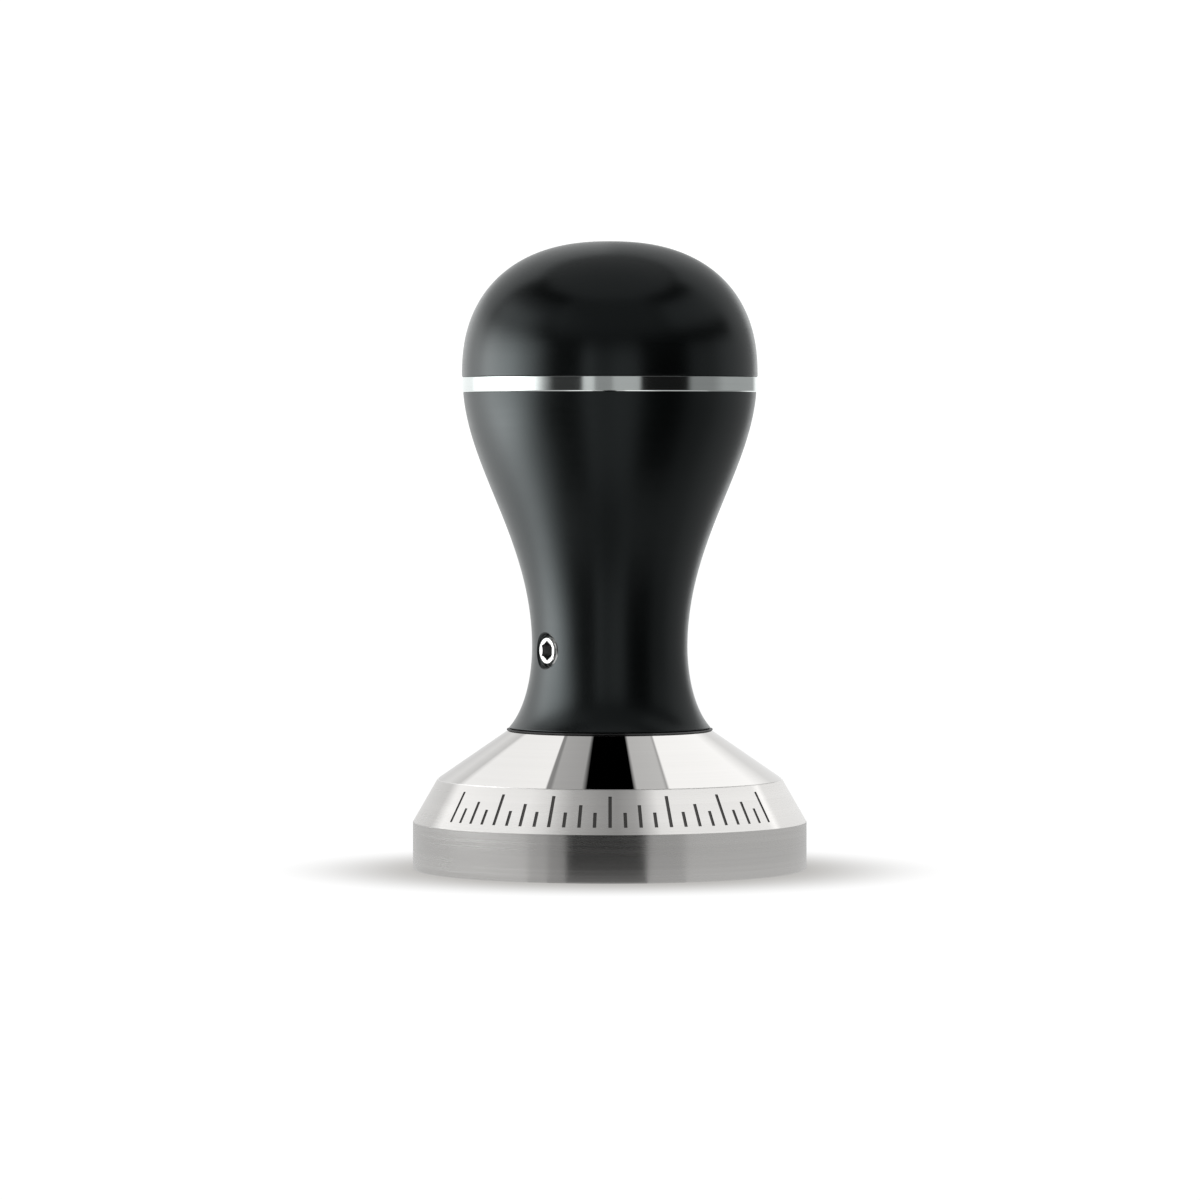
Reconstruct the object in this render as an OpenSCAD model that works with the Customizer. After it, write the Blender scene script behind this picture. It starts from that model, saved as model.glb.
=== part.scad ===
// Espresso tamper: a steel piston, a spigot on which the handle's height is set, and a
// turned handle in three pieces. The origin is the centre of the flat sole and +Z is up.
// Threads are plain cylinders at their major diameter, with a running clearance.

/* [Piston] */
// Diameter of the piston, which sets the filter basket that it fits
piston_d = 58.5; // [57:0.1:60]
// Height of the straight wall above the sole
piston_wall_h = 7; // [5:0.1:9]
// Radius at which the steep band ends and the cone starts
band_top_r = 25.6; // [23:0.1:27]
// Height at which the steep band ends and the cone starts
band_top_z = 13.35; // [11:0.05:15]
// Radius of the piston's flat top
piston_top_r = 15.3; // [15.2:0.1:18]
// Height of the piston's flat top
piston_top_z = 20.6; // [19:0.1:22]
// Bevel along the piston's turned edges
piston_edge = 0.15; // [0.1:0.05:0.4]

/* [Etched scale] */
// Number of tick marks
tick_count = 25; // [5:2:41]
// Angle between neighbouring ticks
tick_step = 4.5; // [3:0.5:6]
// Width of a tick
tick_w = 0.5; // [0.3:0.05:0.8]
// Length of the longest ticks, along the band's slope
tick_long = 5; // [4:0.1:5.5]
// Length of the middle ticks
tick_middle = 3.6; // [2.5:0.1:4]
// Length of the shortest ticks
tick_short = 2.4; // [1:0.1:2.5]
// Depth of the etching below the band
tick_depth = 0.12; // [0.05:0.01:0.2]

/* [Handle] */
// Thickness of the seat washer under the handle's foot
washer_t = 0.2; // [0.1:0.1:1]
// Radius of the handle's foot
foot_r = 14.95; // [14.5:0.05:15.1]
// Radius of the neck, at the handle's slimmest place
neck_r = 11.55; // [11.4:0.05:12.5]
// Height of the neck
neck_z = 32.9; // [32:0.1:34]
// Radius of the handle's body where it meets the accent ring
shoulder_r = 21.75; // [20:0.05:22]
// Height of the shoulder
shoulder_z = 70.75; // [70:0.05:72]
// Slope of the body's side at the shoulder, away from vertical
shoulder_slope = 4.5; // [0:0.5:10]
// Radius of the accent ring
ring_r = 21.95; // [21:0.05:23]
// Height of the accent ring
ring_h = 2.3; // [1.5:0.05:3]
// Bevel along the accent ring's edges
ring_edge = 0.15; // [0.1:0.05:0.4]
// Radius of the dome
dome_r = 21.95; // [21:0.05:23]
// Height of the dome above the accent ring
dome_h = 20.05; // [19:0.05:23]
// Exponent of the dome's superellipse, where 2 is an ellipse and more is squarer
dome_power = 2.35; // [2:0.05:3]

/* [Spigot and screws] */
// Diameter of the spigot that slides in the handle
stem_d = 12; // [11.5:0.1:12.2]
// Height of the spigot's top above the sole
stem_top_z = 52; // [50:0.5:52.5]
// Major diameter of the spigot's thread in the piston
stem_thread_d = 8; // [6:1:10]
// Length of the spigot's thread
stem_thread_l = 9; // [7:0.5:10]
// Height of the set screw above the sole
screw_z = 32.6; // [31:0.1:34]
// Bearing of the set screw around the handle, from +X
screw_angle = 215; // [0:5:355]
// Major diameter of the set screw
screw_d = 5; // [4:0.5:5]
// Length of the set screw
screw_l = 5; // [4.5:0.5:5]
// Width across the flats of the set screw's hexagon socket
screw_key = 2.5; // [1.5:0.5:2.5]
// Length of the screw that ties the dome to the body
tie_l = 25; // [22:1:26]

/* [Hidden] */
$fn = 96;

turning_clearance = 0.05; // radial gap of a piece that turns or slides in its hole
fit_clearance = 0.02;     // radial gap of a piece that is pushed in by hand
curve_steps = 28;         // straight steps in each free curve of an outline
past = 1;                 // how far a cutter runs past the face that it cuts

piston_r = piston_d / 2;
front_angle = -90;
band_slope = atan2(band_top_z - piston_wall_h, piston_r - band_top_r);
band_length = norm([piston_r - band_top_r, band_top_z - piston_wall_h]);
tick_base = (band_length - tick_long) / 2;

foot_z = piston_top_z + washer_t;
foot_edge = 0.2;      // bevel along the foot
foot_pull = 4.9;      // how far the flare keeps its direction at the foot
foot_slope = 41;      // lean of the flare at the foot, away from vertical
neck_pull_low = 1.5;  // how far the side stays upright below the neck
neck_pull_high = 15.7; // how far the side stays upright above the neck
shoulder_pull = 12;   // how far the side keeps its slope below the shoulder

stem_r = stem_d / 2;
stem_bore_r = stem_r + turning_clearance;
stem_flat = 5.4;       // distance from the axis to the flat that the set screw presses on
stem_flat_z = foot_z + 3;
stem_edge = 0.6;
stem_key = 4;          // across the flats of the socket that unscrews the spigot
stem_key_depth = 6;
relief_h = 1.2;        // groove between the spigot's thread and its shoulder
relief_depth = 0.7;
thread_edge = 0.7;
thread_hole_spare = 2; // depth of the tapped hole below the thread's end

face_recess = 0.15;    // depth of the set screw's face below the neck's surface
screw_out = neck_r - face_recess;
screw_in = screw_out - screw_l;
screw_edge = 0.6;
screw_key_depth = 2.4;
pad_gap = 0.02;
pad_side_gap = 0.55;   // the pad is this much slimmer than the screw, all round
pad_r = screw_d / 2 - pad_side_gap;
pad_edge = 0.3;

spigot_r = 17;         // the body's spigot centres the ring and the dome
spigot_in_cap = 1.5;
spigot_h = ring_h + spigot_in_cap;
ring_z = shoulder_z;
cap_z = shoulder_z + ring_h;
recess_z = shoulder_z + spigot_h;
web_z = 61;            // underside of the web that the tie screw pulls on
lock_washer_t = 1.6;
lock_washer_r = 5.5;
lock_washer_gap = 1.2;
lock_washer_lean = 25; // lean of its split, away from vertical
tie_r = 3;
tie_head_r = 5;
tie_head_h = 6;
tie_head_edge = 0.5;
tie_key = 5;
tie_key_depth = 3;
tie_hole_r = 3.3;
tie_z = web_z - lock_washer_t; // bearing face of the tie screw's head
tie_end_z = tie_z + tie_l;
tie_hole_spare = 2;

steel = [0.78, 0.78, 0.77];
bright_steel = [0.86, 0.86, 0.86];
black_anodised = [0.06, 0.065, 0.07];
dark_polymer = [0.03, 0.03, 0.03];
zinc = [0.62, 0.63, 0.65];
brass = [0.78, 0.62, 0.32];

// One point of a cubic curve between a and d, pulled towards b and c.
function cubic(a, b, c, d, t) =
    pow(1 - t, 3) * a + 3 * pow(1 - t, 2) * t * b + 3 * (1 - t) * t * t * c + pow(t, 3) * d;

// The points of that curve after its start, so that curves can follow each other.
function cubic_points(a, b, c, d) =
    [for (i = [1 : curve_steps]) cubic(a, b, c, d, i / curve_steps)];

// A point at a distance from p, on a line that leans away from vertical.
function lean(p, angle, distance) = p + distance * [sin(angle), cos(angle)];

// A solid of revolution from an outline of [radius, height] points.
module turned(outline) {
    rotate_extrude() polygon(outline);
}

// A hexagon prism, given the width across its flats, standing on z = 0.
module hexagon(across, h) {
    cylinder(d = across / cos(30), h = h, $fn = 6);
}

// Moves its children from the Z axis to the set screw's line, so that z becomes the
// distance outwards from the handle's axis.
module on_screw_line() {
    translate([0, 0, screw_z]) rotate([0, 0, screw_angle]) rotate([0, 90, 0]) children();
}

// The piston's outline, from the middle of the sole to the middle of its top.
function piston_outline() = [
    [0, 0],
    [piston_r - piston_edge, 0],
    [piston_r, piston_edge],
    [piston_r, piston_wall_h],
    [band_top_r, band_top_z],
    [piston_top_r, piston_top_z - piston_edge],
    [piston_top_r - piston_edge, piston_top_z],
    [0, piston_top_z]
];

// Every fourth tick is long, and the ticks half way between those are of middle length.
function tick_length(i) = i % 4 == 0 ? tick_long : i % 2 == 0 ? tick_middle : tick_short;

// One etched tick: a shallow pocket that runs up the slope of the band.
module tick(i) {
    rotate([0, 0, front_angle + i * tick_step])
        translate([piston_r, 0, piston_wall_h])
            rotate([0, band_slope, 0])
                translate([-tick_base - tick_length(i), -tick_w / 2, -tick_depth])
                    cube([tick_length(i), tick_w, tick_depth + past]);
}

module tamper_base() {
    side = (tick_count - 1) / 2;
    hole_end = piston_top_z - stem_thread_l - thread_hole_spare;
    color(steel) difference() {
        turned(piston_outline());
        translate([0, 0, hole_end])
            cylinder(r = stem_thread_d / 2 + turning_clearance, h = piston_top_z);
        for (i = [-side : side]) tick(i);
    }
}

module seat_washer() {
    color(dark_polymer) translate([0, 0, piston_top_z]) difference() {
        cylinder(r = piston_top_r, h = washer_t);
        translate([0, 0, -past])
            cylinder(r = stem_r + turning_clearance, h = washer_t + 2 * past);
    }
}

// The spigot's outline: a thread with a relief groove, then the plain sliding part.
function stem_outline() = let (t = stem_thread_d / 2, z = piston_top_z) [
    [0, z - stem_thread_l],
    [t - thread_edge, z - stem_thread_l],
    [t, z - stem_thread_l + thread_edge],
    [t, z - relief_h],
    [t - relief_depth, z - relief_h],
    [t - relief_depth, z],
    [stem_r, z],
    [stem_r, stem_top_z - stem_edge],
    [stem_r - stem_edge, stem_top_z],
    [0, stem_top_z]
];

module base_stem() {
    color(bright_steel) difference() {
        turned(stem_outline());
        rotate([0, 0, screw_angle])
            translate([stem_flat, -stem_r, stem_flat_z])
                cube([stem_r, stem_d, stem_top_z]);
        translate([0, 0, stem_top_z - stem_key_depth]) hexagon(stem_key, stem_key_depth + past);
    }
}

// The outer curve of the handle's body, from the foot up through the neck to the shoulder.
function body_side() = let (
    foot = [foot_r, foot_z + foot_edge],
    neck = [neck_r, neck_z],
    shoulder = [shoulder_r, shoulder_z]
) concat(
    [foot],
    cubic_points(foot, lean(foot, -foot_slope, foot_pull), neck - [0, neck_pull_low], neck),
    cubic_points(neck, neck + [0, neck_pull_high],
                 lean(shoulder, shoulder_slope, -shoulder_pull), shoulder)
);

function body_outline() = concat(
    [[0, foot_z], [foot_r - foot_edge, foot_z]],
    body_side(),
    [[spigot_r, shoulder_z], [spigot_r, shoulder_z + spigot_h], [0, shoulder_z + spigot_h]]
);

module handle_body() {
    color(black_anodised) difference() {
        turned(body_outline());
        translate([0, 0, foot_z - past]) cylinder(r = stem_bore_r, h = web_z - foot_z + past);
        translate([0, 0, web_z - past]) cylinder(r = tie_hole_r, h = shoulder_z);
        on_screw_line() cylinder(r = screw_d / 2 + turning_clearance, h = shoulder_r);
    }
}

module accent_ring() {
    color(bright_steel) turned([
        [spigot_r + fit_clearance, ring_z],
        [ring_r - ring_edge, ring_z],
        [ring_r, ring_z + ring_edge],
        [ring_r, ring_z + ring_h - ring_edge],
        [ring_r - ring_edge, ring_z + ring_h],
        [spigot_r + fit_clearance, ring_z + ring_h]
    ]);
}

// The dome's outer curve, a superellipse from the accent ring to the crown. The angle's
// powers put its points evenly along the curve.
function dome_side() = [
    for (i = [0 : curve_steps * 2])
        let (a = 90 * i / (curve_steps * 2))
            [dome_r * pow(cos(a), 2 / dome_power), cap_z + dome_h * pow(sin(a), 2 / dome_power)]
];

module handle_cap() {
    color(black_anodised) difference() {
        turned(concat([[0, cap_z]], dome_side()));
        translate([0, 0, cap_z - past])
            cylinder(r = spigot_r + fit_clearance, h = recess_z - cap_z + past + fit_clearance);
        translate([0, 0, recess_z])
            cylinder(r = tie_r, h = tie_end_z + tie_hole_spare - recess_z);
    }
}

// The screw that ties the dome, the ring and the body together, with its head downwards.
module cap_screw() {
    shank_r = tie_r - turning_clearance;
    color(zinc) difference() {
        turned([
            [0, tie_z - tie_head_h],
            [tie_head_r - tie_head_edge, tie_z - tie_head_h],
            [tie_head_r, tie_z - tie_head_h + tie_head_edge],
            [tie_head_r, tie_z],
            [shank_r, tie_z],
            [shank_r, tie_end_z - thread_edge],
            [shank_r - thread_edge, tie_end_z],
            [0, tie_end_z]
        ]);
        translate([0, 0, tie_z - tie_head_h - past]) hexagon(tie_key, tie_key_depth + past);
    }
}

// A split spring washer under the tie screw's head, squeezed flat.
module lock_washer() {
    color(zinc) translate([0, 0, tie_z]) difference() {
        cylinder(r = lock_washer_r, h = lock_washer_t);
        translate([0, 0, -past]) cylinder(r = tie_r + fit_clearance, h = lock_washer_t + 2 * past);
        translate([0, 0, lock_washer_t / 2])
            rotate([lock_washer_lean, 0, 0])
                translate([0, -lock_washer_gap / 2, -lock_washer_t])
                    cube([2 * lock_washer_r, lock_washer_gap, 2 * lock_washer_t]);
    }
}

// The grub screw, with a hexagon socket in its outer face.
module set_screw() {
    r = screw_d / 2;
    color(bright_steel) on_screw_line() difference() {
        turned([
            [0, screw_in],
            [r - screw_edge, screw_in],
            [r, screw_in + screw_edge],
            [r, screw_out - screw_edge],
            [r - screw_edge, screw_out],
            [0, screw_out]
        ]);
        translate([0, 0, screw_out - screw_key_depth]) hexagon(screw_key, screw_key_depth + past);
    }
}

// The soft pad between the grub screw and the spigot's flat.
module clamp_pad() {
    inner = stem_flat + pad_gap;
    color(brass) on_screw_line() turned([
        [0, inner],
        [pad_r - pad_edge, inner],
        [pad_r, inner + pad_edge],
        [pad_r, screw_in],
        [0, screw_in]
    ]);
}

tamper_base();
seat_washer();
base_stem();
handle_body();
accent_ring();
handle_cap();
cap_screw();
lock_washer();
set_screw();
clamp_pad();
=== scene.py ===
"""The looks of an espresso tamper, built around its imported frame.

Outlines are lists of (radius, height) points in millimetres. A solid's outline starts on the
axis, goes out, up the outside and back to the axis, so that its faces point outwards.
"""

import math

import bmesh
import bpy
from mathutils import Matrix, Vector


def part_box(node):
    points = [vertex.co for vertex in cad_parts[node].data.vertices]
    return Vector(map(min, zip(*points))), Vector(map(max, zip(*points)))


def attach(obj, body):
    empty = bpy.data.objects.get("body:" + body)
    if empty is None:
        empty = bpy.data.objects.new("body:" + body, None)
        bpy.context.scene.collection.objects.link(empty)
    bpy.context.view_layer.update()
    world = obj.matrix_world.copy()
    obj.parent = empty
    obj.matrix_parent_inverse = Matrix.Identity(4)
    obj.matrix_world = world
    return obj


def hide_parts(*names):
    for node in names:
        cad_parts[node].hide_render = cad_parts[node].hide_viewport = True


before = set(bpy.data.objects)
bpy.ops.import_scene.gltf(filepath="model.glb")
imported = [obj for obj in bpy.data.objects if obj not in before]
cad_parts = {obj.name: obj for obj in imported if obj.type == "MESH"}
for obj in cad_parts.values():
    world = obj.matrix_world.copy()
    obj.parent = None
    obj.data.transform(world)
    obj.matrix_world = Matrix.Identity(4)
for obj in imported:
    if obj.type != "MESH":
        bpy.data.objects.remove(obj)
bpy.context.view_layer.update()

MM = 0.001
FULL_TURN = 2 * math.pi


def box_mm(node):
    """The lowest and highest corners of a CAD node, in millimetres."""
    return [[round(value / MM, 2) for value in corner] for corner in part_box(node)]


# -------------------- sizes, in millimetres

# The piston
PISTON_R, _, PISTON_TOP_Z = box_mm("tamper_base")[1]
PISTON_WALL_H = 7.0
PISTON_BEVEL = 0.15
BAND_TOP = (25.6, 13.35)
PISTON_TOP_R = 15.3
TAPPED_DEPTH = 11.0
TAPPED_CHAMFER = 0.6
DRILL_POINT = 1.2

# The etched scale
TICKS = 25
TICK_STEP = math.radians(4.5)
TICK_W = 0.5
TICK_LENGTHS = (2.4, 3.6, 5.0)
TICK_DEPTH = 0.12
FRONT = math.radians(-90)

# The handle
FOOT_Z = box_mm("handle_body")[0][2]
FOOT_R = 14.95
FOOT_EDGE = 0.2
FOOT_LEAN = (-41, 4.9)        # degrees from vertical, and the curve's pull along that line
NECK = (11.55, 32.9)
NECK_PULL_LOW = 1.5
NECK_PULL = 15.7
SHOULDER_LEAN = (4.5, -12)
SHOULDER_Z = box_mm("accent_ring")[0][2]
SHOULDER_R = 21.75
RING_R = 21.95
RING_TOP_Z = box_mm("accent_ring")[1][2]
RING_BEVEL = 0.15
DOME_R = 21.95
DOME_TOP_Z = box_mm("handle_cap")[1][2]
DOME_POWER = 2.35
CAP_HOLE_SPARE = 2.0          # from the cap screw's end to the bottom of its hole
CAP_DRILL_POINT = 1.0
CAP_CHAMFER = 0.5
HANDLE_SPIGOT_R = 17.0
HANDLE_SPIGOT_Z = box_mm("handle_body")[1][2]
WEB_Z = 61.0

# The spigot, its bore, the set screw and its pad, and the cap screw and its washer
STEM_R = 6.0
STEM_LOW_Z = box_mm("base_stem")[0][2]
STEM_TOP_Z = box_mm("base_stem")[1][2]
STEM_FLAT = 5.4
STEM_FLAT_Z = FOOT_Z + 3.0
STEM_CHAMFER = 0.6
RELIEF = (3.3, 1.2)           # radius and height of the groove under its shoulder
BORE_R = 6.05
BORE_CHAMFER = 0.3
SCREW_Z = 32.6
SCREW_BEARING = math.radians(215)
SCREW_FACE = 11.4             # distances from the handle's axis
SCREW_TIP = 6.4
SCREW_END_R = 0.06            # how far its ends are under the thread's roots
SCREW_EDGE = ((0.03, 0.05), (0.07, 0.08), (0.12, 0.1))   # its rounding: inwards, and up
PAD_R = 1.95
PAD_CHAMFER = 0.3
TIE_Z = 59.4
TIE_END_Z = box_mm("cap_screw")[1][2]
TIE_HEAD_R = 5.0
TIE_HEAD_H = 6.0
TIE_HOLE_R = 3.3
TIE_THREAD_LOW = 3.0          # how far its thread reaches below the dome
KNURLS = 48
KNURL_DEPTH = 0.11
LOCK_R = 5.5
LOCK_HALF_GAP = 0.6
LOCK_LEAN = math.tan(math.radians(25))

# Hexagon sockets, as the size across the flats and the depth
SOCKET_BEVEL = (0.05, 0.08)   # out from the corners, and down
SOCKET_DRILL_R = 0.42         # of the size across the flats
SOCKET_DRILL_POINT = 0.3
STEM_SOCKET = (4.0, 6.0)
SCREW_SOCKET = (2.5, 2.4)
TIE_SOCKET = (5.0, 3.0)

# Threads, as the radius over the crests and the pitch
M8 = (4.0, 1.25)
M6 = (3.0, 1.0)
M5 = (2.5, 0.8)
THREAD_DEPTH = 0.6134         # of the pitch
THREAD_PROFILE = (            # along one pitch, and the rise from root to crest
    (0.0, 0.0), (0.125, 0.0), (0.28, 0.5), (0.4375, 1.0), (0.5625, 1.0), (0.72, 0.5),
    (0.875, 0.0))
THREAD_START = 0.1            # the chamfer on a screw's ends

CLEARANCE = 0.05              # between threads
FIT = 0.02                    # between parts that meet
EDGE = 0.08                   # the usual rounding of an edge
HOLD = 0.05                   # how far the point beside a rounding stands off
TINY = 1e-6

# Columns round a large and a small piece
BODY_SIDES = 256
SMALL_SIDES = 96


# -------------------- curves

def cubic(a, b, c, d, t):
    """A point of the cubic curve from a to d that is pulled towards b and c."""
    s = 1 - t
    return s**3 * a + 3 * s * s * t * b + 3 * s * t * t * c + t**3 * d


def lean(point, degrees, distance):
    """A point at a distance from another, on a line that leans outwards from vertical."""
    angle = math.radians(degrees)
    return point + distance * Vector((math.sin(angle), math.cos(angle)))


def root_radius(thread):
    """The radius at the bottom of a thread's grooves."""
    crest, pitch = thread
    return crest - THREAD_DEPTH * pitch


def side_curves():
    """The control points of the handle's side, below the neck and above it."""
    foot = Vector((FOOT_R, FOOT_Z + FOOT_EDGE))
    neck = Vector(NECK)
    shoulder = Vector((SHOULDER_R, SHOULDER_Z))
    below = (foot, lean(foot, *FOOT_LEAN), neck - Vector((0, NECK_PULL_LOW)), neck)
    above = (neck, neck + Vector((0, NECK_PULL)), lean(shoulder, *SHOULDER_LEAN), shoulder)
    return below, above


SIDE_CURVES = side_curves()


def side_radius(height):
    """The radius of the handle's side at a height, found by halving along its curve."""
    curve = SIDE_CURVES[0] if height < NECK[1] else SIDE_CURVES[1]
    low, high = 0.0, 1.0
    for _ in range(40):
        middle = (low + high) / 2
        if cubic(*curve, middle).y < height:
            low = middle
        else:
            high = middle
    return cubic(*curve, low).x


def dome_outline():
    """The dome's side, a superellipse from its lower edge to the crown."""
    steps = 56
    height = DOME_TOP_Z - RING_TOP_Z
    outline = []
    for i in range(steps + 1):
        angle = math.pi / 2 * i / steps
        across = max(math.cos(angle), 0.0) ** (2 / DOME_POWER)
        up = math.sin(angle) ** (2 / DOME_POWER)
        outline.append((DOME_R * across, RING_TOP_Z + height * up))
    outline[-1] = (0.0, DOME_TOP_Z)
    return outline


def softened(outline, radius=EDGE, closed=False):
    """The outline with its corners rounded and a point beside each rounding, which keeps the
    smooth shading of the rounding off the faces next to it."""
    straight = math.radians(12)
    longest = 0.4                 # the share of a side that one rounding may take
    steps = 4
    result = []
    for i, point in enumerate(outline):
        here = Vector(point)
        if not closed and i in (0, len(outline) - 1):
            result.append(here)
            continue
        back = Vector(outline[i - 1]) - here
        ahead = Vector(outline[(i + 1) % len(outline)]) - here
        inside = back.angle(ahead)
        if math.pi - inside < straight:
            result.append(here)
            continue
        reach = min(radius / math.tan(inside / 2), longest * min(back.length, ahead.length))
        room = 2.5 * (reach + HOLD)
        start = here + back.normalized() * reach
        end = here + ahead.normalized() * reach
        if back.length > room:
            result.append(start + back.normalized() * HOLD)
        for k in range(steps + 1):
            t = k / steps
            result.append((1 - t) ** 2 * start + 2 * (1 - t) * t * here + t * t * end)
        if ahead.length > room:
            result.append(end + ahead.normalized() * HOLD)
    return [(point.x, point.y) for point in result]


def hexagon(across, start):
    """The radius of a hexagon at each angle, with a corner at the start angle."""
    def radius(angle):
        from_corner = (angle - start) % (FULL_TURN / 6)
        return across / 2 / math.cos(from_corner - math.pi / 6)
    return radius


def flatted(radius, flat, bearing):
    """The radius of a round bar at each angle, with one flat on it."""
    def at(angle):
        off = math.cos(angle - bearing)
        return min(radius, flat / off) if off > 0.5 else radius
    return at


# -------------------- shapes

class Shape:
    """The points and faces of one closed piece, in rings round its axis."""

    def __init__(self, sides, start=0.0, columns=None):
        self.sides = sides
        self.columns = columns or (
            lambda radius: [start + FULL_TURN * i / sides for i in range(sides)])
        self.points = []
        self.faces = []
        self.finishes = []
        self.finish = 0

    def point(self, x, y, z):
        """A new point, by its number."""
        self.points.append((x, y, z))
        return len(self.points) - 1

    def polar(self, radius, angle, height):
        """A new point, from its radius and angle."""
        return self.point(radius * math.cos(angle), radius * math.sin(angle), height)

    def face(self, *corners):
        """A face, less the corners that two neighbours share."""
        kept = [c for i, c in enumerate(corners) if c != corners[i - 1]]
        if len(set(kept)) > 2:
            self.faces.append(kept)
            self.finishes.append(self.finish)

    def ring(self, radius, height):
        """A ring of points. The radius is a number, or a function of the angle."""
        if not callable(radius) and radius < TINY:
            return [self.point(0, 0, height)] * self.sides
        size = radius if callable(radius) else (lambda angle: radius)
        widest = size(0.0)
        return [self.polar(size(angle), angle, height) for angle in self.columns(widest)]

    def strip(self, low, high, skip=()):
        """The faces between two rings, less the columns to skip."""
        for i in range(len(low)):
            if i not in skip:
                j = (i + 1) % len(low)
                self.face(low[i], low[j], high[j], high[i])

    def join(self, rings):
        """The faces between each ring and the next."""
        for low, high in zip(rings, rings[1:]):
            self.strip(low, high)

    def rings(self, outline):
        """Rings along an outline, with the faces between them."""
        made = [self.ring(*point) for point in outline]
        self.join(made)
        return made

    def closed_rings(self, outline):
        """Rings round a closed outline, with the faces between them."""
        made = self.rings(outline)
        self.strip(made[-1], made[0])

    def thread(self, low, high, low_z, high_z, low_r, high_r, pitch, minor, major,
               inwards=False, place=None):
        """A right-hand thread between two rings, which it meets in a cone at each end. Minor and
        major are its radii, and inwards says that its faces look towards the axis."""
        turns = math.ceil((high_z - low_z) / pitch) + 2
        first = math.floor(low_z / pitch) - 1
        angles = self.columns(major)
        new_point = place or self.polar
        rows = []
        for n in range(turns + 1):
            rows += [(first + n + phase, minor + (major - minor) * rise)
                     for phase, rise in THREAD_PROFILE]
        made = []
        for i, angle in enumerate(angles):
            column = []
            for phase, radius in rows:
                z = pitch * (phase + angle / FULL_TURN)
                if z <= low_z + TINY:
                    column.append(low[i])
                elif z >= high_z - TINY:
                    column.append(high[i])
                else:
                    from_low, from_high = z - low_z, high_z - z
                    radius = min(max(radius, low_r - from_low), low_r + from_low)
                    radius = min(max(radius, high_r - from_high), high_r + from_high)
                    column.append(new_point(radius, angle, z))
            made.append(column)
        turn = len(THREAD_PROFILE)
        made.append(made[0][turn:] + [high[0]] * turn)
        for here, there in zip(made, made[1:]):
            for k in range(len(rows) - 1):
                corners = (here[k], there[k], there[k + 1], here[k + 1])
                self.face(*(reversed(corners) if inwards else corners))


SHARP = math.radians(32)
SAME_POINT = 1e-4


def piece(shape, node, body, finishes, place=None):
    """The shape as an object that stands for a CAD node and rides on its body."""
    name = node + "_detail"
    mesh = bpy.data.meshes.new(name)
    mesh.from_pydata(shape.points, [], shape.faces)
    mesh.polygons.foreach_set("material_index", shape.finishes)
    work = bmesh.new()
    work.from_mesh(mesh)
    bmesh.ops.remove_doubles(work, verts=work.verts, dist=SAME_POINT)
    bmesh.ops.recalc_face_normals(work, faces=work.faces)
    work.to_mesh(mesh)
    work.free()
    if place is not None:
        mesh.transform(place)
    mesh.transform(Matrix.Scale(MM, 4))
    for finish in finishes:
        mesh.materials.append(finish)
    mesh.shade_smooth()
    mesh.set_sharp_from_angle(angle=SHARP)
    made = bpy.data.objects.new(name, mesh)
    bpy.context.scene.collection.objects.link(made)
    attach(made, body)
    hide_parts(node)


# -------------------- materials

NOISE_RANGE = (0.3, 0.7)      # where most of a noise lies
TWO_NOISES = (0.7, 1.3)       # and most of the sum of two


def put(tree, kind, inputs=None, **settings):
    """A new node. Its inputs are given by name or number, as values or as outputs to link."""
    made = tree.nodes.new(kind)
    for name, value in settings.items():
        setattr(made, name, value)
    for name, value in (inputs or {}).items():
        if isinstance(value, bpy.types.NodeSocket):
            tree.links.new(value, made.inputs[name])
        else:
            made.inputs[name].default_value = value
    return made.outputs[0]


def maths(tree, operation, *inputs):
    """A Math node on values or outputs."""
    return put(tree, "ShaderNodeMath", dict(enumerate(inputs)), operation=operation)


def remap(tree, value, old_low, old_high, new_low, new_high, smooth=False):
    """The value moved from one range to another and held inside it."""
    kind = "SMOOTHSTEP" if smooth else "LINEAR"
    inputs = {"Value": value, "From Min": old_low, "From Max": old_high,
              "To Min": new_low, "To Max": new_high}
    return put(tree, "ShaderNodeMapRange", inputs, interpolation_type=kind)


def new_material(name, **values):
    """A material, its node tree and its shader. Names of sockets have _ for each space."""
    made = bpy.data.materials.new(name)
    made.use_nodes = True
    shader = made.node_tree.nodes["Principled BSDF"]
    for socket, value in values.items():
        shader.inputs[socket.replace("_", " ")].default_value = value
    return made, made.node_tree, shader


def noise(tree, vector, scale, detail=2.0, rough=0.5):
    """Noise of a scale in cycles per metre, for a vector in metres."""
    inputs = {"Vector": vector, "Scale": scale, "Detail": detail, "Roughness": rough}
    return put(tree, "ShaderNodeTexNoise", inputs)


def object_place(tree):
    """The object coordinates, in metres."""
    return tree.nodes.new("ShaderNodeTexCoord").outputs["Object"]


def object_xyz(tree):
    """The three object coordinates."""
    parts = tree.nodes.new("ShaderNodeSeparateXYZ")
    tree.links.new(object_place(tree), parts.inputs[0])
    return parts.outputs


def turned_place(tree, around, along):
    """Coordinates that change slowly around the axis and fast along a turned outline."""
    x, y, z = object_xyz(tree)
    radius = maths(tree, "SQRT", maths(tree, "ADD", maths(tree, "MULTIPLY", x, x),
                                       maths(tree, "MULTIPLY", y, y)))
    outline = maths(tree, "SUBTRACT", z, radius)
    inputs = {0: maths(tree, "MULTIPLY", x, around), 1: maths(tree, "MULTIPLY", y, around),
              2: maths(tree, "MULTIPLY", outline, along)}
    return put(tree, "ShaderNodeCombineXYZ", inputs)


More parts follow.
